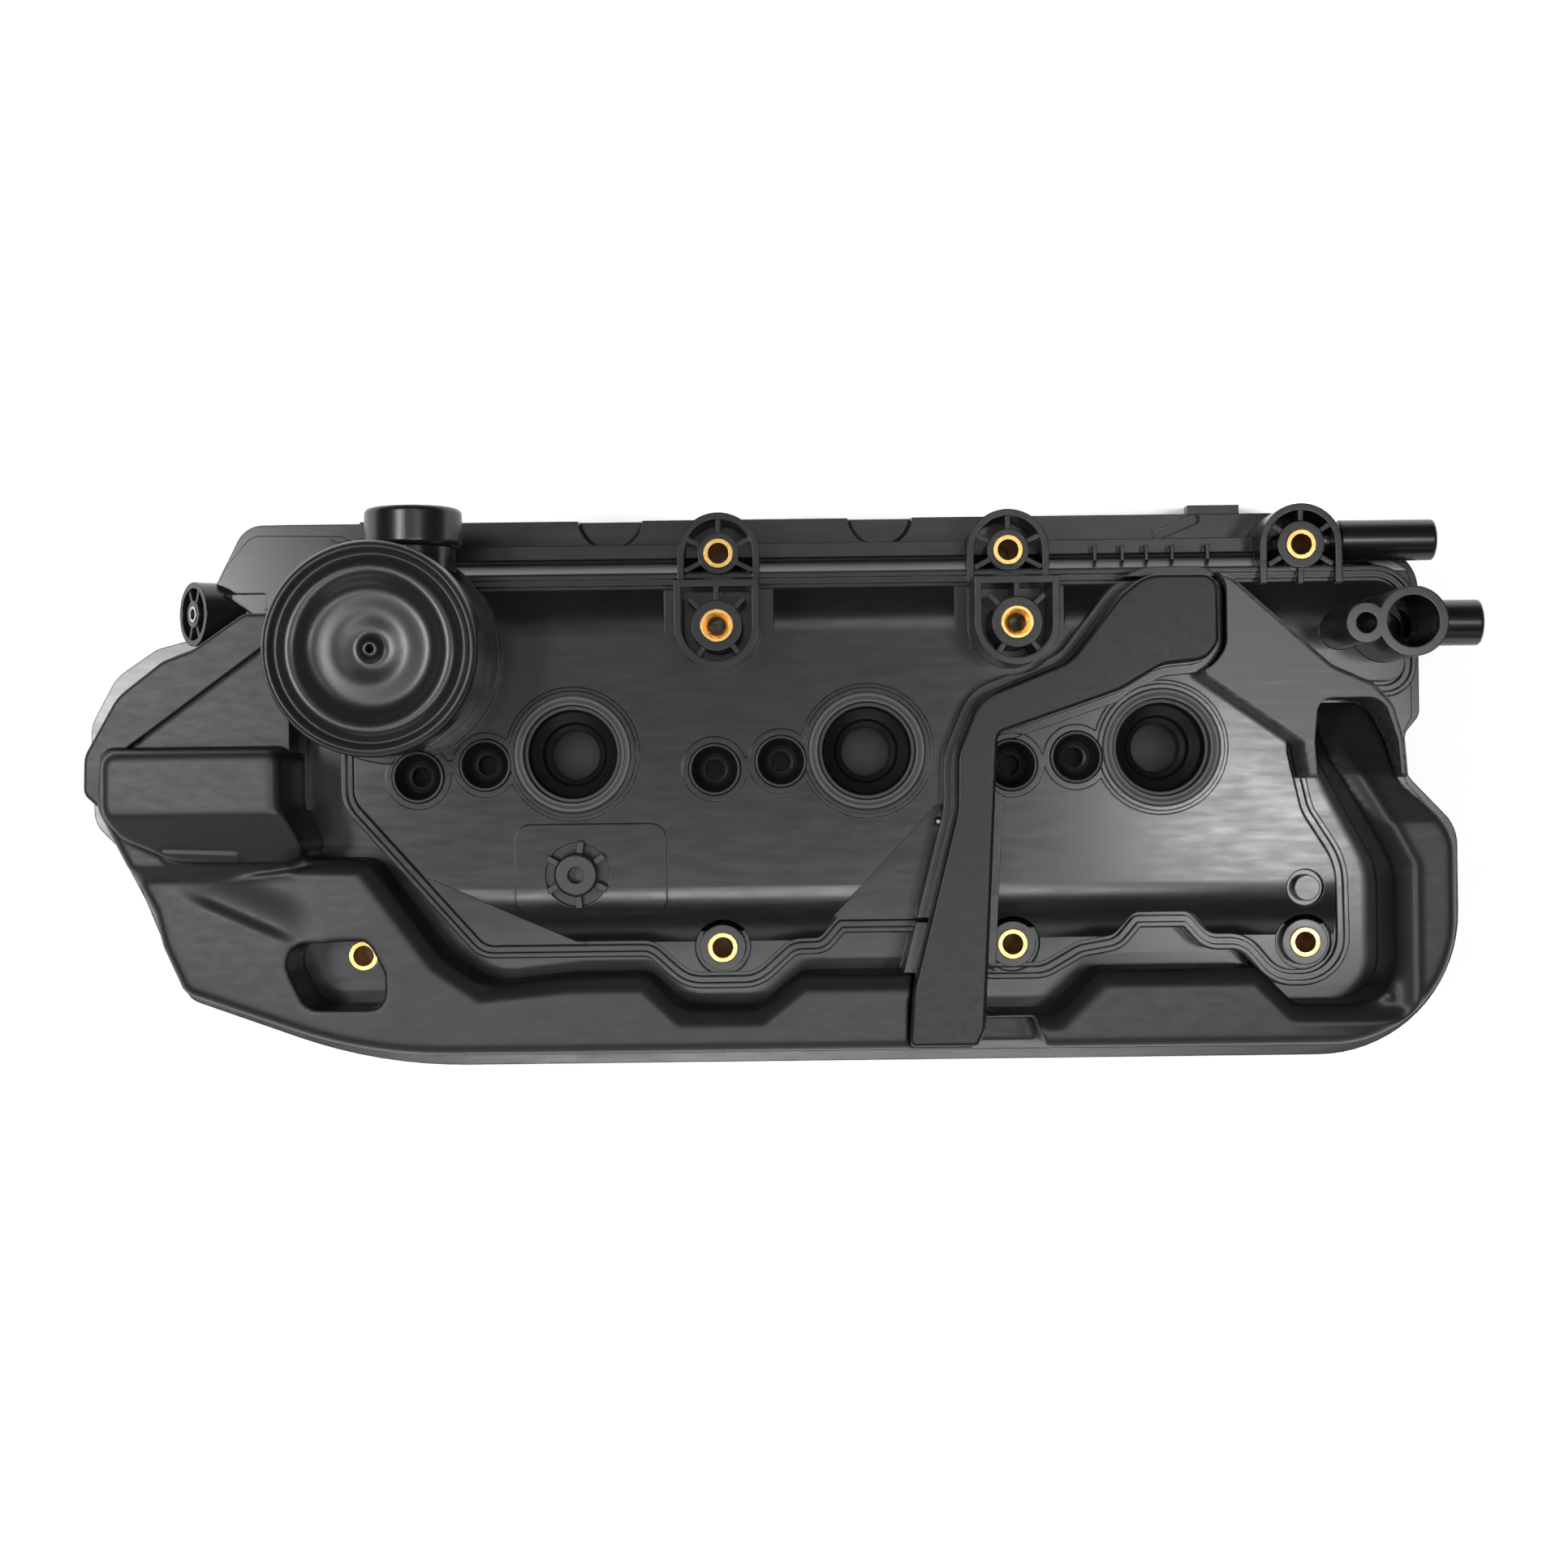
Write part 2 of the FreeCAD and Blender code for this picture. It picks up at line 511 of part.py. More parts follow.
def cover_shell():
    outside = [
        prism(FLANGE, 0, FLANGE_TOP),
        prism(BASE, 0, BASE_TOP),
        prism(offset(DECK, 5), 0, SHOULDER_TOP),
        prism(DECK, 0, 50).common(deck_profile(0, -170, 175)),
        top_rail(),
        prism(TOP_PLATE, 0, 22),
        prism(offset(END_BOX, 2.4), 0, 25).cut(separator_footprint()),
        rod(PCV[0], PCV[1], 5, PEDESTAL_TOP, PEDESTAL_R),
        box(104, 120.4, 72, 77.3, 0, 6),
    ]
    outside += rail_ribs()
    rib = prism(offset(DECK, 4.6), SHOULDER_TOP, SHOULDER_TOP + 1.4)
    rib = rib.cut(prism(offset(DECK, 3.2), SHOULDER_TOP - 1, SHOULDER_TOP + 3))
    outside.append(rib)
    shell = fused(outside)

    channel = prism(offset(CHANNEL, 3.2), 20, CHANNEL_BASE - 2)
    channel = channel.fuse(prism(offset(CHANNEL, 0.6), 20, CHANNEL_BASE))
    channel = channel.common(box(0, 120, CHANNEL_FOOT_Y, 60, 20, 60))
    keep_out = [rod(x, 0, WELL_TOP, 60, 19.6) for x in INJECTOR_X]
    for x, y in CLAMP_GROMMETS + LEAKOFF_GROMMETS:
        keep_out.append(rod(x, y, WELL_TOP, 60, 9.6))
    channel = channel.cut(keep_out[0].multiFuse(keep_out[1:]))
    pad = prism(CLIP_PAD, 28, 40).common(deck_profile(-0.7, -170, 175))
    shell = fused([shell, channel, pad] + seal_plinths())
    for x in BOLT_X:
        shell = shell.cut(clear_column(x, TOWER_Y, 35, 60, PILLAR_R + 2.2, 50.4))

    groove = prism(offset(DECK, 1.3), SHOULDER_TOP - 1.8, 60)
    groove = groove.cut(prism(DECK, 0, 70))
    seat_space = rod(PCV[0], PCV[1], PEDESTAL_TOP, 60, PEDESTAL_R + 0.4)
    shell = shell.cut(groove.fuse(seat_space))

    inside = [
        prism(offset(FLANGE, -9), -1, FLANGE_TOP - 3).common(prism(offset(BASE, -WALL), -1, 20)),
        prism(offset(BASE, -WALL), -1, BASE_TOP - WALL),
        prism(offset(DECK, 1.6), -1, SHOULDER_TOP - WALL - 0.6),
        prism(offset(DECK, -WALL), -1, 50).common(deck_profile(WALL, -170, 175)),
        prism(offset(TOP_PLATE, -WALL), -1, 22 - WALL),
        rod(PCV[0], PCV[1], 5, PEDESTAL_TOP - WALL, PEDESTAL_R - WALL),
    ]
    cavity = fused(inside)
    rail_wall = box(-230, 180, 58.5, 80, -2, 60)
    pedestal_roof = rod(PCV[0], PCV[1], PEDESTAL_TOP - WALL, 60, PEDESTAL_R + 2)
    cavity = cavity.cut(rail_wall.fuse(pedestal_roof))
    shell = shell.cut(cavity)

    columns, grooves = low_bosses()
    solids = [shell] + columns
    for x in INJECTOR_X:
        solids.append(rod(x, 0, 0, WELL_TOP + 0.3, 19.4))
    for x, y in CLAMP_GROMMETS + LEAKOFF_GROMMETS:
        solids.append(rod(x, y, 10, PLATEAU_TOP, GROMMET_RIM_R))
    for x in BOLT_X:
        solids += pillar(x)
        solids.append(clear_column(x, TOWER_Y, 31.5, 35, 16.8, 50))
    solids += end_boss()
    hidden = boss_walls(STRUT_BOSS[0], STRUT_BOSS[1], BOLT_SEAT, 10, PILLAR_R, 6.4,
                        (90, 150, 30, 210, 330))
    solids += hidden
    solids += valve_socket_walls()
    solids.append(mounting_lug())
    arch = ring(PCV[0], PCV[1], 8, 32, 39, 34.9).common(box(-185, -160, 48, 72, 0, 40))
    solids.append(arch)
    for x, y in BAFFLE_SCREWS:
        solids.append(rod(x, y, BAFFLE_Z + 1.4, 34, 3.6))
    solids.append(rod(PEG[0], PEG[1], 29, 33.2, 7.2))
    solids.append(rod(PEG[0], PEG[1], 31, 37.4, 3.9))
    for facet in (LEFT_FACET, RIGHT_FACET):
        plate = prism(offset(facet, 2), FACET_TOP - WALL, FACET_TOP)
        solids.append(plate.common(prism(offset(DECK, 1), 0, 60)))
    shell = fused(solids)

    cuts = cover_cuts() + grooves
    cuts.append(rod(CLIP[0], CLIP[1], CLIP_SEAT, 50, 9.8))
    cuts.append(ring(PEG[0], PEG[1], 33.2, 50, 5.6, 3.9))
    for x in SCALLOP_X:
        cuts.append(scallop(x))
    cuts.append(oblique_scoop())
    cuts.append(prism(TOP_PLATE_RECESS, 20, 30))
    cuts.append(facet_cut(LEFT_FACET))
    cuts.append(facet_cut(RIGHT_FACET))
    cuts.append(gasket_groove())
    cuts.append(rod(BYPASS[0], BYPASS[1], 10, 25, 6.5))
    cuts.append(rod(DRAIN[0], DRAIN[1], 10, 25, 6.0 + FIT))
    cuts.append(box(-184, -180, -26, -6, 12, 25))
    for angle in (150, 200, 250, 300):
        a = math.radians(angle)
        cuts.append(rod(PCV[0] + 21 * math.cos(a), PCV[1] + 21 * math.sin(a), 30, 50, 4.5))
    for x, y in BAFFLE_SCREWS:
        cuts.append(rod(x, y, 20, 31.5, SCREW_R + FIT))
    shell = shell.cut(cuts[0].multiFuse(cuts[1:]))
    return shell


def facet_cut(outline):
    """Sunk flat in a lower corner of the deck, clear of the crossing channel."""
    cut = prism(outline, FACET_TOP, 60).common(prism(DECK, 0, 70))
    return cut.cut(prism(offset(CHANNEL, 3.2), 20, 60))


def gasket_groove():
    outer = prism(offset(FLANGE, -2.5), -1, 2)
    return outer.cut(prism(offset(FLANGE, -6.0), -2, 3))


# ---- welded shells ---------------------------------------------------------------
def reservoir_shell():
    """Matte oil-separator shell: a duct round three sides with a tall block on the left."""
    z = BASE_TOP + FIT
    duct = rounded_top(prism(SEPARATOR_OUTER, z, DUCT_TOP), DUCT_TOP, 3.2)
    block = rounded_top(prism(BLOCK, z, BLOCK_TOP), BLOCK_TOP, 3.2).cut(block_slope(0))
    body = duct.fuse(block).cut(ramp_space(0))
    inner_duct = prism(offset(SEPARATOR_OUTER, -2.6), z - 1, DUCT_TOP - 2.6).cut(ramp_space(2.6))
    inner_block = prism(offset(BLOCK, -2.6), z - 1, BLOCK_TOP - 2.6).cut(block_slope(2.6))
    window = prism(WINDOW, z - 1, DUCT_TOP + 1)
    body = body.cut(inner_duct.fuse(inner_block))
    collar = prism(offset(WINDOW, 2.4), z, DUCT_TOP - 1).common(duct)
    body = body.fuse(collar).cut(window)
    notch = prism([(31.2, -91, 0.3), (53, -91, 0.3), (50, -81.5, 1), (31.2, -81.5, 0.3)],
                  24, DUCT_TOP + 1)
    wall = prism([(30, -91, 0.3), (55, -91, 0.3), (52.5, -80, 1), (30, -80, 0.3)],
                 z, DUCT_TOP - 3)
    body = body.fuse(wall.common(prism(SEPARATOR_OUTER, z, DUCT_TOP))).cut(notch)
    slot = prism(offset(CHANNEL, 0.4), CHANNEL_BASE - 9, DUCT_TOP + 1)
    body = body.cut(slot)
    shelf = prism(offset(CHANNEL, 0.4), CHANNEL_BASE - 12, CHANNEL_BASE - 9)
    body = body.fuse(shelf.common(prism(SEPARATOR_OUTER, z, DUCT_TOP)))
    return clear_of_cover(body)


def ramp_space(depth):
    """Space above the ramp at the duct's right end, reaching depth into it."""
    slope = [(y, height - depth) for y, height in RAMP]
    above = [(RAMP[-1][0], DUCT_TOP + 5), (RAMP[0][0], DUCT_TOP + 5)]
    return profile_along_x(slope + above, *RAMP_X)


def block_slope(depth):
    """Space above the block's sloping front, reaching depth into it."""
    top = BLOCK_TOP - depth
    above = BLOCK_TOP + 5
    return profile_along_x([(-17, top), (-34, top - 12.5), (-34, above), (-17, above)], -235, -160)


def clear_of_cover(body):
    """Trim the shell where the ribbed shoulder and the window boss stand."""
    shoulder = prism(offset(DECK, 5 + FIT), BASE_TOP - 1, SHOULDER_TOP + 2)
    seat = rod(WINDOW_BOLT[0], WINDOW_BOLT[1], BASE_TOP - 1, BASE_TOP + 1, 11)
    return body.cut(shoulder.fuse(seat))


def separator_end_box():
    """Low box behind the tall block, with a sunk triangular panel."""
    z = 25 + FIT
    body = rounded_top(prism(END_BOX, z, BOX_TOP), BOX_TOP, 1.2)
    body = body.cut(prism(offset(END_BOX, -2.6), z - 1, BOX_TOP - 6.5))
    body = body.cut(prism(END_BOX_PANEL, BOX_TOP - 3.8, BOX_TOP + 1))
    pedestal = rod(PCV[0], PCV[1], 20, BOX_TOP + 1, 34 + FIT)
    return body.cut(pedestal.fuse(separator_footprint()))


def crossover_bridge():
    """Hollow bridge from the channel to the right-hand duct, with a rimmed pocket."""
    z = BASE_TOP + FIT
    top = BRIDGE_TOP + 1.5
    body = rounded_top(prism(BRIDGE, z, top), top, 1.4)
    inside = prism(offset(BRIDGE, -2.6), z - 1, top - 2.4)
    rim = prism(offset(BRIDGE_POCKET, 2.4), z, top).common(body)
    body = body.cut(inside).fuse(rim).cut(prism(BRIDGE_POCKET, z - 1, top + 1))
    deck = prism(offset(DECK, FIT), 0, 50).common(deck_profile(-FIT, -170, 175))
    shoulder = prism(offset(DECK, 5 + FIT), 0, SHOULDER_TOP + 1.4 + FIT)
    channel = prism(offset(CHANNEL, 3.2 + FIT), 20, CHANNEL_TOP + 1)
    duct = prism(offset(SEPARATOR_OUTER, FIT), 20, DUCT_TOP + 5)
    body = body.cut(deck.multiFuse([shoulder, channel, duct]))
    return largest(body)


def largest(shape):
    """Keep the main solid and drop the loose slivers that a trim leaves."""
    return max(shape.Solids, key=lambda solid: solid.Volume)


def channel_lid():
    """Flat lid of the crossing channel, hollow underneath."""
    z = CHANNEL_BASE + FIT
    body = rounded_top(prism(CHANNEL, z, CHANNEL_TOP), CHANNEL_TOP, 1.2)
    foot = prism(CHANNEL, CHANNEL_BASE - 9 + FIT, z)
    foot = foot.common(box(0, 60, -90, CHANNEL_FOOT_Y - 0.5, 0, 60))
    body = body.fuse(foot)
    inner = prism(offset(CHANNEL, -2.4), z - 1, CHANNEL_TOP - 2.4)
    return body.cut(inner.common(box(0, 120, CHANNEL_FOOT_Y + 1.9, 60, 0, 60)))


# ---- crankcase pressure valve ------------------------------------------------------
def pcv_housing():
    x, y = PCV
    z = PCV_FLOOR
    cup = ring(x, y, z, PCV_RIM, PCV_BODY_R, PCV_BODY_R - 2.5)
    foot = ring(x, y, z, z + 2.7, PEDESTAL_R - 0.2, 20)
    floor = rod(x, y, z, z + 2.7, PCV_BODY_R)
    column = rod(x, y, z, PCV_SEAT, 8)
    spring_seat = rod(x, y, PCV_SEAT - 2.5, PCV_SEAT - 1, 13.5)
    branch = rod_along(V(0, 1, 0), V(x, y, OUTLET_Z), 28.5, 7)
    spigot = rod_along(V(0, 1, 0), V(OUTLET_X, y + 24, OUTLET_Z), 7.2, OUTLET_NECK_R)
    spigot = spigot.cut(rod(x, y, 30, 80, PCV_BODY_R - 2.5))
    body = fused([cup, foot, floor, column, spring_seat, branch, spigot])
    cuts = [
        rod(x, y, z + 3, PCV_SEAT + 1, 5.5),
        rod_along(V(0, 1, 0), V(x, y, OUTLET_Z), 40, 5.2),
        rod_along(V(0, 1, 0), V(OUTLET_X, OUTLET_FACE_Y - FIT, OUTLET_Z), 5, OUTLET_R + FIT),
        rod(CLAMP_GROMMETS[0][0], CLAMP_GROMMETS[0][1], z - 1, z + 4, GROMMET_RIM_R + 0.6),
    ]
    for angle in (150, 200, 250, 300):
        a = math.radians(angle)
        cuts.append(rod(x + 21 * math.cos(a), y + 21 * math.sin(a), z - 1, z + 4, 4.4))
    return body.cut(cuts[0].multiFuse(cuts[1:]))


def pcv_cap():
    """Snap-on cap: a sunk disc, a broad raised bead and a rolled rim."""
    top = PCV_CAP_TOP
    crest = [
        (1.2, top - 2.2), (2.2, top - 2.3), (2.9, top - 3.2), (10.0, top - 3.3), (17.2, top - 3.1),
        (19.2, top - 2.2), (21.2, top - 0.7), (23.0, top - 0.1), (25.2, top - 0.7),
        (27.4, top - 2.1), (28.3, top - 1.3), (29.3, top), (30.5, top - 0.4), (31.2, top - 1.6),
        (PCV_CAP_R, top - 3.0),
    ]
    skirt = [
        (PCV_CAP_R, top - 3.0), (PCV_CAP_R, PCV_RIM - 4), (PCV_BODY_R + FIT, PCV_RIM - 4),
        (PCV_BODY_R + FIT, PCV_RIM + 1.6), (24.5, PCV_RIM + 1.6), (22.4, top - 3.2), (18.6, top - 5.4), (1.2, top - 5.4), crest[0],
    ]
    x, y = PCV
    curve = Part.BSplineCurve()
    curve.interpolate([V(x + r, y, z) for r, z in crest])
    edges = [curve.toShape()]
    for a, b in zip(skirt, skirt[1:]):
        edges.append(Part.LineSegment(V(x + a[0], y, a[1]), V(x + b[0], y, b[1])).toShape())
    return Part.Face(Part.Wire(edges)).revolve(V(x, y, 0), UP, 360)


def pcv_diaphragm():
    top = PCV_RIM + 1.55
    profile = [
        (0.0, 68.6), (15.0, 68.6), (17.5, 67.2), (20.5, 66.2), (23.5, 67.6), (25.6, 71.0),
        (26.2, PCV_RIM + 0.05), (29.4, PCV_RIM + 0.05), (29.4, top), (25.2, top), (24.4, 71.4),
        (22.6, 68.6), (20.5, 67.3), (18.2, 68.2), (15.4, 69.7), (0.0, 69.7),
    ]
    return turned(profile, PCV[0], PCV[1])


def pcv_plunger():
    profile = [
        (0, PCV_SEAT + PCV_TRAVEL + 0.05), (8.4, PCV_SEAT + PCV_TRAVEL + 0.05), (8.4, 67.0),
        (15.0, 67.0), (15.0, 68.5), (0, 68.5),
    ]
    return turned(profile, PCV[0], PCV[1])


def pcv_spring():
    return coil(PCV[0], PCV[1], PCV_SEAT - 0.95, 66.95, 11.0, 0.6, 3.5)


def breather_outlet():
    start = V(OUTLET_X, OUTLET_FACE_Y, OUTLET_Z)
    length = OUTLET_END_Y - OUTLET_FACE_Y
    body = rod_along(V(0, 1, 0), start, length, OUTLET_R)
    ends = [e for e in body.Edges if e.BoundBox.YLength < 0.01]
    body = body.makeFillet(1.6, ends)
    bore = rod_along(V(0, 1, 0), start + V(0, 2, 0), length, OUTLET_BORE_R)
    throat = rod_along(V(0, 1, 0), start - V(0, 1, 0), length, 9)
    seal_groove = rod_along(V(0, 1, 0), V(OUTLET_X, SEAL_Y, OUTLET_Z), 2.6, OUTLET_BORE_R + 1.5)
    return body.cut(bore.multiFuse([throat, seal_groove]))


def breather_outlet_seal():
    centre = V(OUTLET_X, SEAL_Y + 1.3, OUTLET_Z)
    seal = Part.makeTorus(OUTLET_BORE_R + 0.2, 1.25, centre, V(0, 1, 0))
    return seal


# ---- seals, sleeves and inserts -----------------------------------------------------
def bolt_sleeves():
    return Part.makeCompound([ring(x, y, 0, seat + 0.4, SLEEVE_R, SLEEVE_BORE_R)
                              for x, y, seat in bolt_places()])


def tower_inserts():
    inserts = []
    for x in BOLT_X:
        profile = [
            (INSERT_BORE_R, 40.2), (INSERT_R, 40.2), (INSERT_R, TOWER_TOP + 0.3),
            (INSERT_BORE_R + 1.3, TOWER_TOP + 0.3), (INSERT_BORE_R, TOWER_TOP - 1.2),
        ]
        inserts.append(turned(profile, x, TOWER_Y))
    return Part.makeCompound(inserts)


def injector_seal_ring(x):
    top = WELL_TOP + 0.9
    profile = [
        (SEAL_RING_BORE_R + 0.4, 24.05), (SEAL_RING_R, 24.05), (SEAL_RING_R, top - 0.4),
        (SEAL_RING_R - 0.4, top), (16.6, top), (16.4, top - 0.35), (16.1, top - 0.35),
        (15.9, top - 0.1), (SEAL_RING_BORE_R + 0.6, top - 0.1), (SEAL_RING_BORE_R + 0.4, top - 0.5),
    ]
    return turned(profile, x, 0)


def injector_seal(x):
    outer = SEAL_RING_BORE_R
    profile = [
        (SEAL_LIP_R, 17.3), (9.6, 16.2), (9.6, 12.05), (outer, 12.05), (outer, 24.0),
        (outer + 0.35, 24.0), (outer + 0.35, 34.6), (outer - 0.9, 34.6), (outer - 1.4, 29.4),
        (10.6, 27.6), (10.0, 27.2), (9.6, 26.4), (9.3, 24.8), (SEAL_LIP_R, 23.6),
    ]
    return turned(profile, x, 0)


def grommet(x, y):
    """Cup-shaped rubber grommet whose thin rim caps the moulded boss."""
    seat = PLATEAU_TOP + FIT
    profile = [
        (3.0, 22.05), (GROMMET_R, 22.05), (GROMMET_R, seat), (GROMMET_RIM_R, seat),
        (GROMMET_RIM_R, seat + 1.3), (GROMMET_RIM_R - 0.3, seat + 1.6),
        (GROMMET_RIM_R - 0.9, seat + 1.6),
        (GROMMET_RIM_R - 1.2, seat + 1.0), (6.3, 33.2), (5.0, 29.6), (3.9, 28.6), (3.0, 28.2),
    ]
    return turned(profile, x, y)


def perimeter_gasket():
    outer = prism(offset(FLANGE, -2.5 - FIT), 0, 2 - FIT)
    return outer.cut(prism(offset(FLANGE, -6.0 + FIT), -1, 3))


def well_gaskets():
    return Part.makeCompound([ring(x, 0, 0, 2 - FIT, 16.4 - FIT, 13.6 + FIT) for x in INJECTOR_X])


# ---- parts inside the cover ------------------------------------------------------------
def baffle_plates():
    """Two splash plates, one each side of the injector row."""
    plate = prism(BAFFLE, BAFFLE_Z, BAFFLE_Z + 1.3)
    row_gap = box(-200, 200, -BAFFLE_GAP, BAFFLE_GAP, BAFFLE_Z - 1, BAFFLE_Z + 3)
    holes = [rod(x, 0, 10, 30, 19.9) for x in INJECTOR_X]
    holes += [rod(x, y, 10, 30, SCREW_R + 0.3) for x, y in BAFFLE_SCREWS]
    return plate.cut(holes[0].multiFuse(holes[1:])).cut(row_gap)


def baffle_screws():
    screws = []
    for x, y in BAFFLE_SCREWS:
        profile = [
            (0, BAFFLE_Z - 2.2), (2.8, BAFFLE_Z - 2.0), (3.0, BAFFLE_Z - FIT),
            (SCREW_R, BAFFLE_Z - FIT),
            (SCREW_R, 30.5), (0.6, 31.2), (0, 31.2),
        ]
        screws.append(turned(profile, x, y))
    return Part.makeCompound(screws)


def impactor_plate():
    plate = box(-193.2, -191.6, -28, -1, BASE_TOP + 0.1, BLOCK_TOP - 3)
    holes = []
    for row in range(4):
        for column in range(3):
            start = V(-200, -22 + 7.5 * column, 27 + 8 * row)
            holes.append(rod_along(V(1, 0, 0), start, 20, 1.6))
    return plate.cut(holes[0].multiFuse(holes[1:])).cut(block_slope(3.0))


def cyclone_pack():
    """Three small oil-mist cyclones under one plate."""
    places = [(-220.5, -9), (-211, -21), (-202, -9)]
    top = 50.0
    parts = [box(-227.5, -194.5, -27.5, 0, top, top + 2)]
    cuts = []
    for x, y in places:
        parts.append(rod(x, y, top - 9, top + 1, 5.4))
        parts.append(Part.makeCone(1.8, 5.4, 16, V(x, y, top - 25), UP))
        cuts.append(rod(x, y, top - 9, top + 3, 4.2))
        cuts.append(Part.makeCone(0.9, 4.2, 16.2, V(x, y, top - 25.2), UP))
    body = fused(parts).common(prism(offset(BLOCK, -2.8), 20, 58))
    return body.cut(cuts[0].multiFuse(cuts[1:])).cut(block_slope(3.0))


def bypass_cage():
    x, y = BYPASS
    body = ring(x, y, BASE_TOP + 0.05, 36, 10.4, 8.9)
    body = body.fuse(ring(x, y, 34.6, 36, 9.5, 3))
    for angle in (0, 60, 120):
        slot = box(-12, 12, -2.6, 2.6, BASE_TOP + 3, 32)
        slot.rotate(V(0, 0, 0), UP, angle)
        slot.translate(V(x, y, 0))
        body = body.cut(slot)
    return body


def bypass_valve_disc():
    x, y = BYPASS
    profile = [
        (0, BASE_TOP + 0.05), (8.5, BASE_TOP + 0.05), (8.5, BASE_TOP + 2), (3.4, BASE_TOP + 2.4),
        (3.4, BASE_TOP + 4.6), (0, BASE_TOP + 4.6),
    ]
    return turned(profile, x, y)


def bypass_spring():
    return coil(BYPASS[0], BYPASS[1], BASE_TOP + 2.6, 34.55, 4.9, 0.45, 5.5)


def drain_tube():
    profile = [
        (4.0, BASE_TOP + 2), (4.0, 8.6), (5.0, 8.0), (5.0, 5.0), (3.2, 5.0), (3.2, 4.0), (6.0, 4.0),
        (6.0, BASE_TOP + 0.05), (7.4, BASE_TOP + 0.05), (7.4, BASE_TOP + 2),
    ]
    return turned(profile, DRAIN[0], DRAIN[1])


def drain_check_disc():
    return rod(DRAIN[0], DRAIN[1], 5.05, 6.3, 4.6)


# ---- ports, clip and lug -------------------------------------------------------------
def pipe(y, z, radius, x0, x1):
    """Hose stub along +X with a rounded tip."""
    body = rod_along(V(1, 0, 0), V(x0, y, z), x1 - x0, radius)
    body = body.makeFillet(1.1, [e for e in body.Edges if e.BoundBox.XMin > x1 - 0.01])
    return body.cut(rod_along(V(1, 0, 0), V(x0 - 1, y, z), x1 - x0 + 2, PIPE_BORE_R))


def harness_clip():
    """Push-in clip: a hollow hub with six spring tabs."""
    x, y = CLIP
    hub = rod(x, y, CLIP_SEAT + FIT, CLIP_TOP, 6.6)
    hub = hub.makeFillet(0.9, [e for e in hub.Edges if e.BoundBox.ZMin > CLIP_TOP - 0.01])
    parts = [hub]
    for angle in CLIP_TAB_ANGLES:
        tab = box(5.6, 10.2, -1.0, 1.0, PLATEAU_TOP + 1.1, PLATEAU_TOP + 3.4)
        tab.rotate(V(0, 0, 0), UP, angle)
        tab.translate(V(x, y, 0))
        parts.append(tab)
    return fused(parts).cut(rod(x, y, CLIP_TOP - 5, CLIP_TOP + 5, 2.5))


def lug_bush():
    bush = ring(0, 0, -9.5, 0.2, 2.6 - FIT, 1.7)
    return leaning(bush)


def export(name, shape):
    solids = shape.Solids
    total = sum(solid.Volume for solid in solids)
    b = shape.BoundBox
    span = [round(v, 1) for v in (b.XMin, b.XMax, b.YMin, b.YMax, b.ZMin, b.ZMax)]
    print(f"{name:22s} solids {len(solids)} volume {total:9.1f} valid {shape.isValid()} {span}")
    shape.exportStep(f"parts/{name}.step")


os.makedirs("parts", exist_ok=True)
export("cover_shell", cover_shell())
export("reservoir_shell", reservoir_shell())
export("separator_end_box", separator_end_box())
export("crossover_bridge", crossover_bridge())
export("channel_lid", channel_lid())
export("pcv_housing", pcv_housing())
export("pcv_cap", pcv_cap())
export("pcv_diaphragm", pcv_diaphragm())
export("pcv_plunger", pcv_plunger())
export("pcv_spring", pcv_spring())
export("breather_outlet", breather_outlet())
export("breather_outlet_seal", breather_outlet_seal())
export("bolt_sleeves", bolt_sleeves())
export("tower_inserts", tower_inserts())
for number, bore_x in enumerate(INJECTOR_X, start=1):
    export(f"injector_seal_ring_{number}", injector_seal_ring(bore_x))
    export(f"injector_seal_{number}", injector_seal(bore_x))
for number, place in enumerate(CLAMP_GROMMETS, start=1):
    export(f"clamp_grommet_{number}", grommet(*place))
for number, place in enumerate(LEAKOFF_GROMMETS, start=1):
    export(f"leakoff_grommet_{number}", grommet(*place))
export("perimeter_gasket", perimeter_gasket())
export("well_gaskets", well_gaskets())
export("baffle_plates", baffle_plates())
export("baffle_screws", baffle_screws())
export("impactor_plate", impactor_plate())
export("cyclone_pack", cyclone_pack())
export("bypass_cage", bypass_cage())
export("bypass_valve_disc", bypass_valve_disc())
export("bypass_spring", bypass_spring())
export("drain_tube", drain_tube())
export("drain_check_disc", drain_check_disc())
export("pipe_upper", pipe(*PIPE_UPPER, 148.2, 177.6))
export("pipe_lower", pipe(*PIPE_LOWER, 170 + FIT, 187.8))
export("harness_clip", harness_clip())
export("lug_bush", lug_bush())
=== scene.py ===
"""Looks of the cylinder head cover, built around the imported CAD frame. Metres, row frame."""

import json
import math

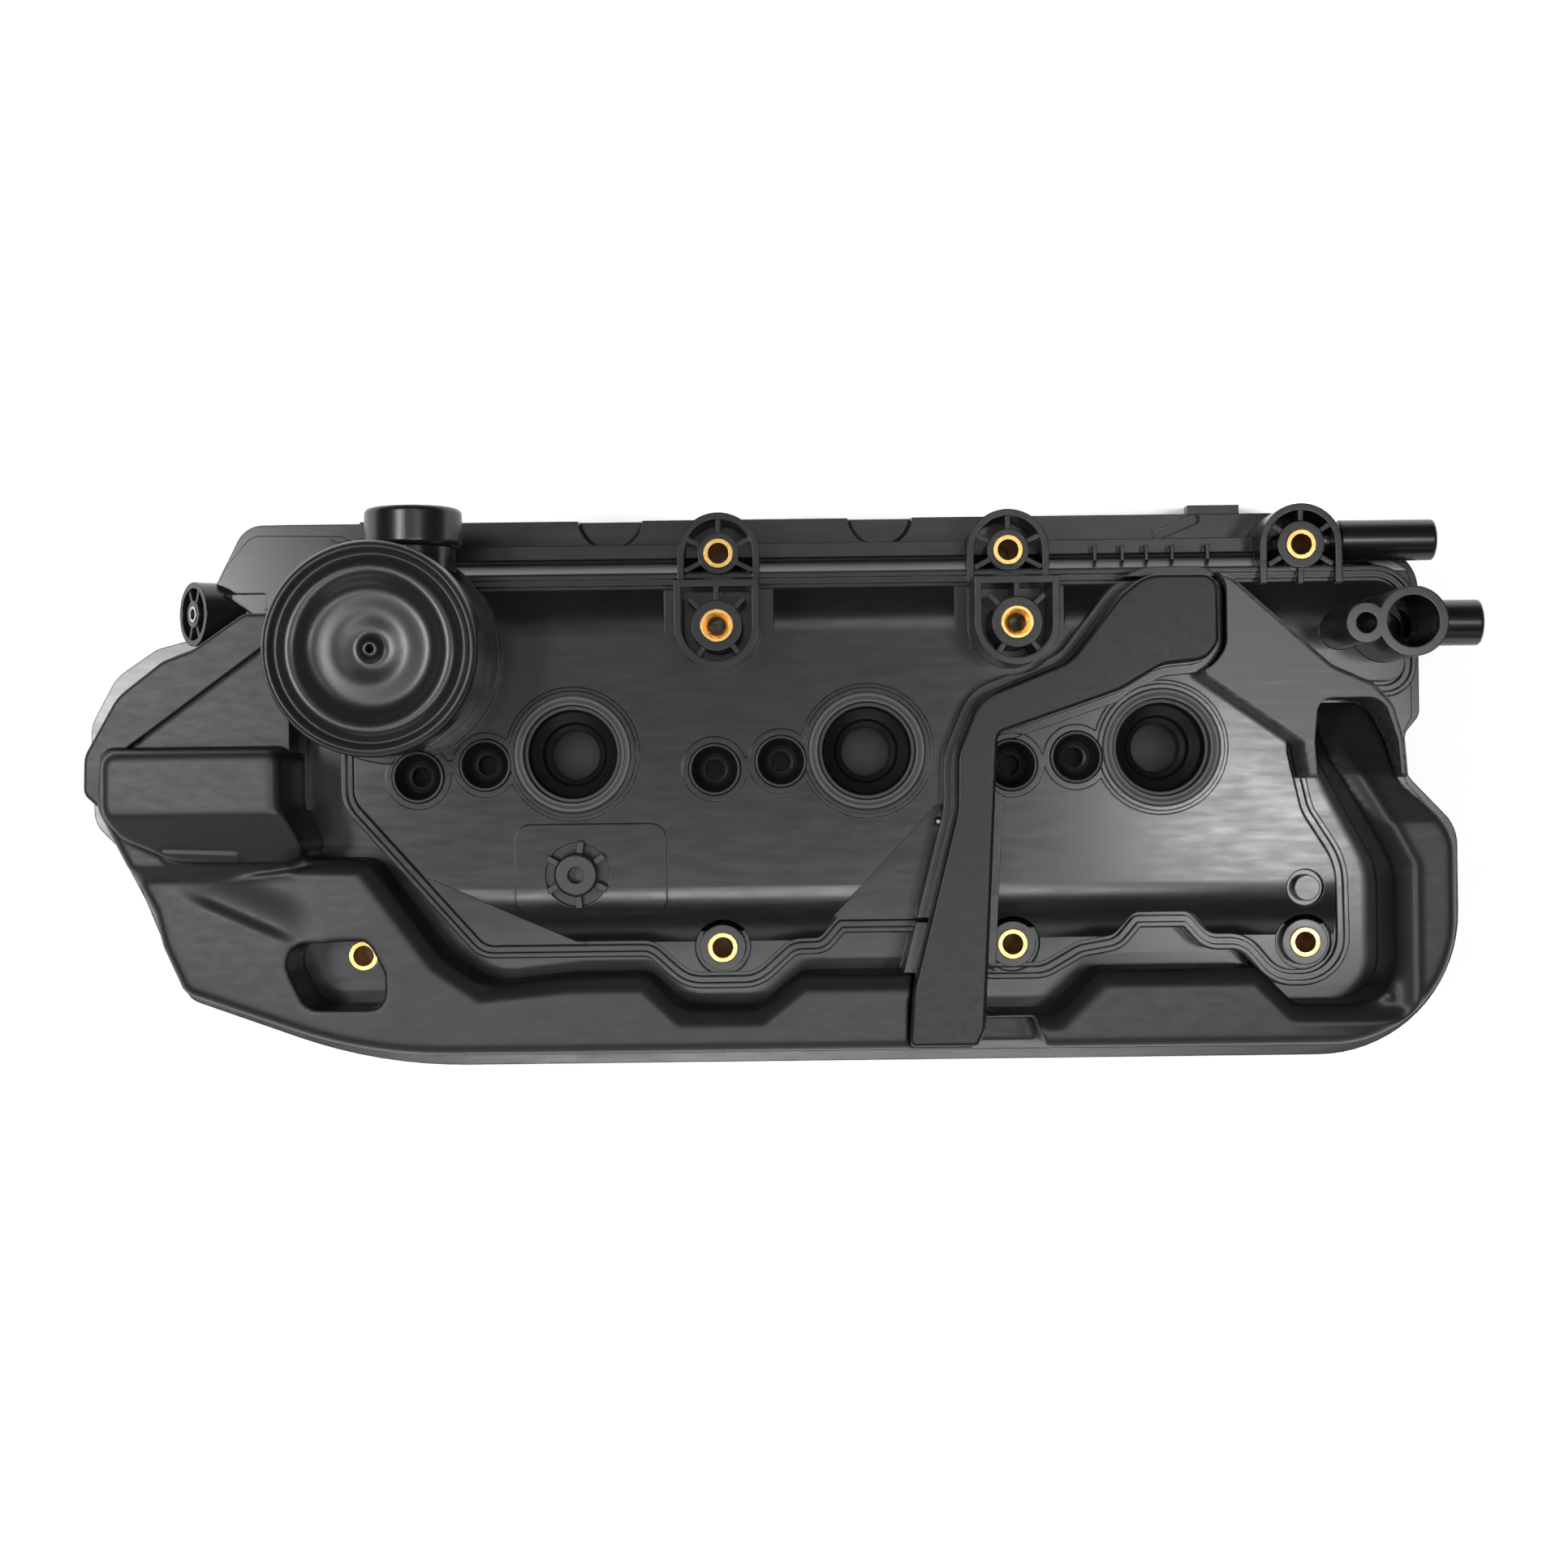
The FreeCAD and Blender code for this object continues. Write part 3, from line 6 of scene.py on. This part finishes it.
import bmesh
import bpy
import numpy as np
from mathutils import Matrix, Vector


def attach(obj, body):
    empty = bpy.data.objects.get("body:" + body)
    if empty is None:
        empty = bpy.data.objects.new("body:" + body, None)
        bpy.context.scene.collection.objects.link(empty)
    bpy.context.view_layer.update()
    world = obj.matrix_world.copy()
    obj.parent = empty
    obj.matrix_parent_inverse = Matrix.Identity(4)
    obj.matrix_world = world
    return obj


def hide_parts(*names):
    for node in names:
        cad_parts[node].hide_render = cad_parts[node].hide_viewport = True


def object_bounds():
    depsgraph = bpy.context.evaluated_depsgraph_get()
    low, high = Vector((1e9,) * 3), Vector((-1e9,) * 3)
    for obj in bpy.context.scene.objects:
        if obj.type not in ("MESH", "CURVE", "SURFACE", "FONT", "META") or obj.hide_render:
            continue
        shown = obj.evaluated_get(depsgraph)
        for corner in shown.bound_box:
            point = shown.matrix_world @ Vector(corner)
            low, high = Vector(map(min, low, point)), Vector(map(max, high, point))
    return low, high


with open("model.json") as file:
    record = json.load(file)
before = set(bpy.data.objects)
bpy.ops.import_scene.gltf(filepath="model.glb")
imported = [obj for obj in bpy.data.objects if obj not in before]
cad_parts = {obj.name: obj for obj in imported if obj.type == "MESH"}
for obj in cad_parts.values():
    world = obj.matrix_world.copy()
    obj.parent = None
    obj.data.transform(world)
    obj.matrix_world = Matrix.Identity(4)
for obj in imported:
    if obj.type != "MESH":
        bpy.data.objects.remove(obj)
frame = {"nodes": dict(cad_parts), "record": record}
cad_box = [list(corner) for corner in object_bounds()]

NODES = frame["nodes"]
MM = 0.001


# ---------------------------------------------------------------- materials

def new_material(name):
    material = bpy.data.materials.new(name)
    material.use_nodes = True
    return material, material.node_tree.nodes, material.node_tree.links


def position(nodes, links, stretch=(1, 1, 1), turn=0.0):
    """Object space point, in metres, turned about Z and scaled axis by axis, so a pattern can run one way."""
    source = nodes.new("ShaderNodeTexCoord")
    mapping = nodes.new("ShaderNodeMapping")
    mapping.inputs["Scale"].default_value = stretch
    mapping.inputs["Rotation"].default_value = (0, 0, turn)
    links.new(source.outputs["Object"], mapping.inputs["Vector"])
    return mapping.outputs["Vector"]


def noise(nodes, links, vector, scale, detail=3.0, roughness=0.55):
    texture = nodes.new("ShaderNodeTexNoise")
    texture.inputs["Scale"].default_value = scale
    texture.inputs["Detail"].default_value = detail
    texture.inputs["Roughness"].default_value = roughness
    links.new(vector, texture.inputs["Vector"])
    return texture.outputs["Fac"]


def remap(nodes, links, value, low, high, from_low=0.3, from_high=0.7):
    node = nodes.new("ShaderNodeMapRange")
    node.inputs["From Min"].default_value = from_low
    node.inputs["From Max"].default_value = from_high
    node.inputs["To Min"].default_value = low
    node.inputs["To Max"].default_value = high
    links.new(value, node.inputs["Value"])
    return node.outputs["Result"]


def blend_colours(nodes, links, factor, first, second):
    node = nodes.new("ShaderNodeMix")
    node.data_type = "RGBA"
    node.inputs[6].default_value = (*first, 1)
    node.inputs[7].default_value = (*second, 1)
    links.new(factor, node.inputs["Factor"])
    return node.outputs[2]


def bump(nodes, links, height, strength, distance, normal=None):
    node = nodes.new("ShaderNodeBump")
    node.inputs["Strength"].default_value = strength
    node.inputs["Distance"].default_value = distance
    links.new(height, node.inputs["Height"])
    if normal is not None:
        links.new(normal, node.inputs["Normal"])
    return node.outputs["Normal"]


def soft_edges(nodes, radius):
    node = nodes.new("ShaderNodeBevel")
    node.samples = 6
    node.inputs["Radius"].default_value = radius
    return node.outputs["Normal"]


CLOUD_SCALE = 26
FLOW_SCALE = 420
SKIN_SCALE = 3200
MACHINING_SCALE = 5200
GRAIN_HEIGHT = 0.0001


def moulded(name, dark, light, rough, grain=0.05, streak=(1, 1, 1), turn=0.0, spread=0.03,
            specular=0.5, edge=0.5, drawn=False):
    """Moulded plastic or rubber: slightly cloudy colour, faint flow marks, a fine skin grain and
    eased edges. On a drawn one the colour follows the flow marks."""
    material, nodes, links = new_material(name)
    shader = nodes["Principled BSDF"]
    shader.inputs["Specular IOR Level"].default_value = specular
    point = position(nodes, links)
    flow_point = position(nodes, links, streak, turn)
    clouds = noise(nodes, links, point, CLOUD_SCALE, 3.0)
    flow = noise(nodes, links, flow_point, FLOW_SCALE, 4.0)
    skin = noise(nodes, links, point, SKIN_SCALE, 2.0)
    tint = remap(nodes, links, flow if drawn else clouds, 0, 1)
    links.new(blend_colours(nodes, links, tint, dark, light), shader.inputs["Base Color"])
    links.new(remap(nodes, links, flow, rough - spread, rough + spread), shader.inputs["Roughness"])
    eased = soft_edges(nodes, edge * MM)
    fine = bump(nodes, links, skin, grain, GRAIN_HEIGHT, eased)
    links.new(fine, shader.inputs["Normal"])
    return material


def metal(name, dark, light, rough):
    """Turned or drawn metal with fine machining marks and slight tarnish."""
    material, nodes, links = new_material(name)
    shader = nodes["Principled BSDF"]
    shader.inputs["Metallic"].default_value = 1.0
    point = position(nodes, links)
    tarnish = noise(nodes, links, point, FLOW_SCALE, 4.0)
    marks = noise(nodes, links, point, MACHINING_SCALE, 2.0)
    tint = remap(nodes, links, tarnish, 0, 1)
    links.new(blend_colours(nodes, links, tint, dark, light), shader.inputs["Base Color"])
    links.new(remap(nodes, links, tarnish, rough + 0.06, rough - 0.03), shader.inputs["Roughness"])
    eased = soft_edges(nodes, 0.2 * MM)
    links.new(bump(nodes, links, marks, 0.08, GRAIN_HEIGHT, eased), shader.inputs["Normal"])
    return material


STRAP_RUN = math.radians(39)
MATERIALS = {
    "gloss_black": moulded("gloss_black", (0.0085, 0.0087, 0.0092), (0.0115, 0.0117, 0.0122), 0.22, 0.02,
                           (0.2, 1, 1), 0.2),
    "matte_black": moulded("matte_black", (0.0135, 0.0135, 0.0130), (0.0170, 0.0170, 0.0163), 0.44, 0.05,
                           (0.4, 1, 1), 0.0, 0.03, 0.5, 0.6),
    "bridge_plastic": moulded("bridge_plastic", (0.030, 0.030, 0.0285), (0.104, 0.101, 0.094), 0.36, 0.04,
                              (0.06, 1.6, 1), STRAP_RUN, 0.06, 0.5, 0.5, True),
    "matte_grey": moulded("matte_grey", (0.0070, 0.0088, 0.0086), (0.0100, 0.0120, 0.0118), 0.36, 0.05,
                          specular=0.3),
    "cap_plastic": moulded("cap_plastic", (0.015, 0.0155, 0.017), (0.018, 0.0185, 0.020), 0.30, 0.015,
                           spread=0.012),
    "port_plastic": moulded("port_plastic", (0.007, 0.007, 0.008), (0.010, 0.010, 0.011), 0.28, 0.02,
                            spread=0.015),
    "inner_plastic": moulded("inner_plastic", (0.045, 0.045, 0.045), (0.055, 0.055, 0.055), 0.50, 0.05),
    "clip_plastic": moulded("clip_plastic", (0.012, 0.012, 0.013), (0.018, 0.018, 0.019), 0.38, 0.04),
    "rubber_black": moulded("rubber_black", (0.004, 0.005, 0.006), (0.006, 0.007, 0.009), 0.42, 0.08),
    "grommet_rubber": moulded("grommet_rubber", (0.010, 0.011, 0.011), (0.014, 0.015, 0.015), 0.40, 0.08),
    "gasket_rubber": moulded("gasket_rubber", (0.018, 0.018, 0.018), (0.024, 0.024, 0.024), 0.60, 0.10),
    "seal_ring": moulded("seal_ring", (0.052, 0.048, 0.043), (0.066, 0.061, 0.054), 0.40, 0.05,
                         edge=0.3),
    "brass": metal("brass", (0.62, 0.34, 0.10), (0.86, 0.58, 0.22), 0.24),
    "spring_steel": metal("spring_steel", (0.42, 0.42, 0.43), (0.60, 0.60, 0.61), 0.30),
}

SLOT_OF = {part["node"]: part["material_slot"] for part in frame["record"]["subparts"]}

for node_name, node in NODES.items():
    for slot in node.material_slots:
        slot.material = MATERIALS[SLOT_OF[node_name]]
    flatten = node.modifiers.new("face weights", "WEIGHTED_NORMAL")
    flatten.keep_sharp = True


# ---------------------------------------------------------------- soft separator shell

# The duct's inner edge in plan, in millimetres, from its right end round to the tall block.
DUCT_INNER_EDGE = [
    (137, 13.4), (141, -4), (159.2, -38), (159.2, -78.6), (129, -78.6), (118, -67.4), (70, -67.4),
    (56.5, -80.4), (35, -80.4), (35, -67.8), (-20.5, -67.8), (-33.5, -78), (-56.5, -78), (-67.5, -67.4),
    (-91, -67.4), (-117, -70), (-130, -61), (-152, -31), (-172, -31),
]
EDGE_ROLL = 5.5
EDGE_DROP = 2.4
BEAD_RISE = 0.5
BEAD_WIDTH = 1.5
BEAD_X = (120, 150)
WEDGE = ((-206, -38.6), (-156.5, -31.6))
WEDGE_DEPTH = 3.4
WEDGE_TOP_Y = (-34.5, -31.5)
FOLD = ((-208, -41.6), (-172, -57.5))
FOLD_DEPTH = 1.5
BAR = ((-211, -29.4), (-190, -30.2))
BAR_RISE = 1.3
TILT_DROP = 3.0
TILT_X = (-150, -225)
TILT_Y = (-38, -32)
RELIEF_Z = (26, 42)
VOXEL = 0.85
SOFTENING = 5


def smoothstep(low, high, value):
    share = np.clip((value - low) / (high - low), 0, 1)
    return share * share * (3 - 2 * share)


def along_and_off(points, start, end):
    """Share along the segment, unclamped, and signed distance to its left, for each plan point."""
    start = np.array(start, float)
    run = np.array(end, float) - start
    length = np.linalg.norm(run)
    unit = run / length
    offset = points - start
    share = offset @ unit / length
    off = offset @ np.array((-unit[1], unit[0]))
    return share, off


def distance_to_path(points, path):
    best = np.full(len(points), 1e9)
    for start, end in zip(path, path[1:]):
        start = np.array(start, float)
        run = np.array(end, float) - start
        share = np.clip((points - start) @ run / (run @ run), 0, 1)
        best = np.minimum(best, np.linalg.norm(points - start - share[:, None] * run, axis=1))
    return best


def separator_relief(plan):
    """Height change in millimetres that turns the plain shell into soft moulded forms."""
    x, y = plan[:, 0], plan[:, 1]
    edge = distance_to_path(plan, DUCT_INNER_EDGE)
    relief = -EDGE_DROP * (1 - smoothstep(0, EDGE_ROLL, edge))
    bead = np.exp(-((edge - EDGE_ROLL) / BEAD_WIDTH) ** 2)
    relief += BEAD_RISE * bead * smoothstep(*BEAD_X, x)
    below_block = 1 - smoothstep(*WEDGE_TOP_Y, y)
    share, off = along_and_off(plan, *WEDGE)
    wedge = smoothstep(0.0, 1.0, share) * (1 - smoothstep(1.0, 1.08, share))
    hollow = smoothstep(-0.4, 0.9, off) * (1 - smoothstep(0.9, 7.5, off))
    relief -= WEDGE_DEPTH * wedge * hollow * below_block
    share, off = along_and_off(plan, *FOLD)
    fold = smoothstep(-0.1, 0.25, share) * (1 - smoothstep(0.7, 1.1, share))
    crease = smoothstep(-1.0, 3.0, off) * (1 - smoothstep(3.0, 15.0, off))
    relief -= FOLD_DEPTH * fold * crease
    relief += BAR_RISE * (1 - smoothstep(0.6, 2.6, distance_to_path(plan, BAR)))
    relief -= TILT_DROP * smoothstep(*TILT_X, x) * (1 - smoothstep(*TILT_Y, y))
    return relief


def soft_copy(node_name, name, voxel, rounds):
    """Voxel copy of a CAD node with its edges worn soft."""
    mesh = NODES[node_name].data.copy()
    mesh.transform(NODES[node_name].matrix_world)
    work = bmesh.new()
    work.from_mesh(mesh)
    bmesh.ops.remove_doubles(work, verts=work.verts, dist=1e-6)
    work.to_mesh(mesh)
    work.free()
    piece = bpy.data.objects.new(name, mesh)
    bpy.context.collection.objects.link(piece)
    remesh = piece.modifiers.new("voxels", "REMESH")
    remesh.mode = "VOXEL"
    remesh.voxel_size = voxel * MM
    remesh.use_smooth_shade = True
    smooth = piece.modifiers.new("worn", "SMOOTH")
    smooth.factor = 0.5
    smooth.iterations = rounds
    graph = bpy.context.evaluated_depsgraph_get()
    baked = bpy.data.meshes.new_from_object(piece.evaluated_get(graph))
    piece.modifiers.clear()
    piece.data = baked
    piece.data.materials.clear()
    piece.data.materials.append(MATERIALS[SLOT_OF[node_name]])
    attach(piece, "cover")
    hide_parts(node_name)
    return piece


def vertices(mesh):
    values = np.empty(len(mesh.vertices) * 3)
    mesh.vertices.foreach_get("co", values)
    return values.reshape(-1, 3)


def separator():
    piece = soft_copy("reservoir_shell", "separator_body", VOXEL, SOFTENING)
    points = vertices(piece.data) / MM
    share = smoothstep(*RELIEF_Z, points[:, 2])
    points[:, 2] += share * separator_relief(points[:, :2])
    piece.data.vertices.foreach_set("co", (points * MM).ravel())
    piece.data.update()


separator()


# ---------------------------------------------------------------- stage

FLOOR_HALF = 6.0
FLOOR_GAP = 0.0005


def floor():
    half = FLOOR_HALF
    z = cad_box[0][2] - FLOOR_GAP
    corners = [(-half, -half, z), (half, -half, z), (half, half, z), (-half, half, z)]
    mesh = bpy.data.meshes.new("floor")
    mesh.from_pydata(corners, [], [(0, 1, 2, 3)])
    plane = bpy.data.objects.new("floor", mesh)
    bpy.context.collection.objects.link(plane)
    material, nodes, links = new_material("floor_white")
    shader = nodes["Principled BSDF"]
    shader.inputs["Roughness"].default_value = 0.9
    shader.inputs["Specular IOR Level"].default_value = 0.1
    speckle = noise(nodes, links, position(nodes, links), 30)
    links.new(blend_colours(nodes, links, speckle, (0.92, 0.92, 0.92), (0.94, 0.94, 0.94)),
              shader.inputs["Base Color"])
    mesh.materials.append(material)
    return plane


def light_group(name, item, link_state):
    """Collection that makes a lamp light one object alone, or everything but that object."""
    group = bpy.data.collections.new(name)
    group.objects.link(item)
    group.collection_objects[0].light_linking.link_state = link_state
    return group


def softbox(name, place, target, size, power, lights):
    """A soft rectangular lamp that lights what its light group allows."""
    data = bpy.data.lights.new(name, "AREA")
    data.shape = "RECTANGLE"
    data.size, data.size_y = size
    data.energy = power
    lamp = bpy.data.objects.new(name, data)
    lamp.location = place
    lamp.rotation_mode = "QUATERNION"
    lamp.rotation_quaternion = (Vector(target) - Vector(place)).to_track_quat("-Z", "Y")
    bpy.context.collection.objects.link(lamp)
    lamp.light_linking.receiver_collection = lights


HORIZON_GLOW = 0.55
SIDE_GLOW = 0.06
CEILING_GLOW = 0.72


def ceiling():
    """A pale room: soft light overhead, dim round the sides and pale again at the horizon."""
    world = bpy.data.worlds.new("studio")
    bpy.context.scene.world = world
    world.use_nodes = True
    nodes, links = world.node_tree.nodes, world.node_tree.links
    background = nodes["Background"]
    background.inputs["Color"].default_value = (1, 1, 1, 1)
    source = nodes.new("ShaderNodeTexCoord")
    split = nodes.new("ShaderNodeSeparateXYZ")
    links.new(source.outputs["Generated"], split.inputs["Vector"])
    up = split.outputs["Z"]
    overhead = remap(nodes, links, up, 0, CEILING_GLOW, 0.955, 0.992)
    horizon = remap(nodes, links, up, HORIZON_GLOW, SIDE_GLOW, 0.05, 0.20)
    total = nodes.new("ShaderNodeMath")
    total.operation = "ADD"
    links.new(overhead, total.inputs[0])
    links.new(horizon, total.inputs[1])
    links.new(total.outputs["Value"], background.inputs["Strength"])


# Name, place, target, size in metres and power in watts of each lamp on the cover.
COVER_LAMPS = [
    ("softbox_right", (0.42, -0.04, 1.45), (0.13, -0.02, 0.04), (0.16, 0.18), 3.1),
    ("softbox_left", (-0.71, 0.08, 1.40), (-0.19, 0.01, 0.04), (0.38, 0.30), 8.8),
    ("strip_near", (-0.02, -0.31, 1.46), (0, -0.04, 0.04), (0.70, 0.05), 3.6),
    ("strip_far", (0.16, 0.40, 1.46), (0.05, 0.04, 0.04), (0.50, 0.04), 0.9),
    ("front", (0.0, -1.50, 1.00), (0, 0, 0), (1.60, 0.50), 3),
]
FLOOR_LAMP_PLACE = (2.2, 0, 1.4)
FLOOR_LAMP_SIZE = (2.0, 1.6)
FLOOR_LAMP_POWER = 120


def studio(ground):
    """Lamps for the cover that leave the floor alone, and low side lamps for the floor alone."""
    ceiling()
    cover_lamps = light_group("cover_lamps", ground, "EXCLUDE")
    floor_lamps = light_group("floor_lamps", ground, "INCLUDE")
    for name, place, target, size, power in COVER_LAMPS:
        softbox(name, place, target, size, power, cover_lamps)
    x, y, z = FLOOR_LAMP_PLACE
    for side in (-1, 1):
        name = f"floor_light_{side + 1}"
        softbox(name, (x * side, y, z), (0, 0, 0), FLOOR_LAMP_SIZE, FLOOR_LAMP_POWER, floor_lamps)
    bpy.context.scene.view_settings.view_transform = "Standard"


CAMERA_PLACE = (-0.02543, -0.00986, 0.750)
CAMERA_ROLL = math.radians(-0.7)
LENS = 53.63


def camera():
    """Looks straight down on the cover from 0.75 m."""
    data = bpy.data.cameras.new("camera")
    data.sensor_width = 36
    data.lens = LENS
    data.clip_start = 0.05
    data.clip_end = 20
    holder = bpy.data.objects.new("camera", data)
    holder.location = CAMERA_PLACE
    holder.rotation_euler = (0, 0, CAMERA_ROLL)
    bpy.context.collection.objects.link(holder)
    bpy.context.scene.camera = holder


studio(floor())
camera()
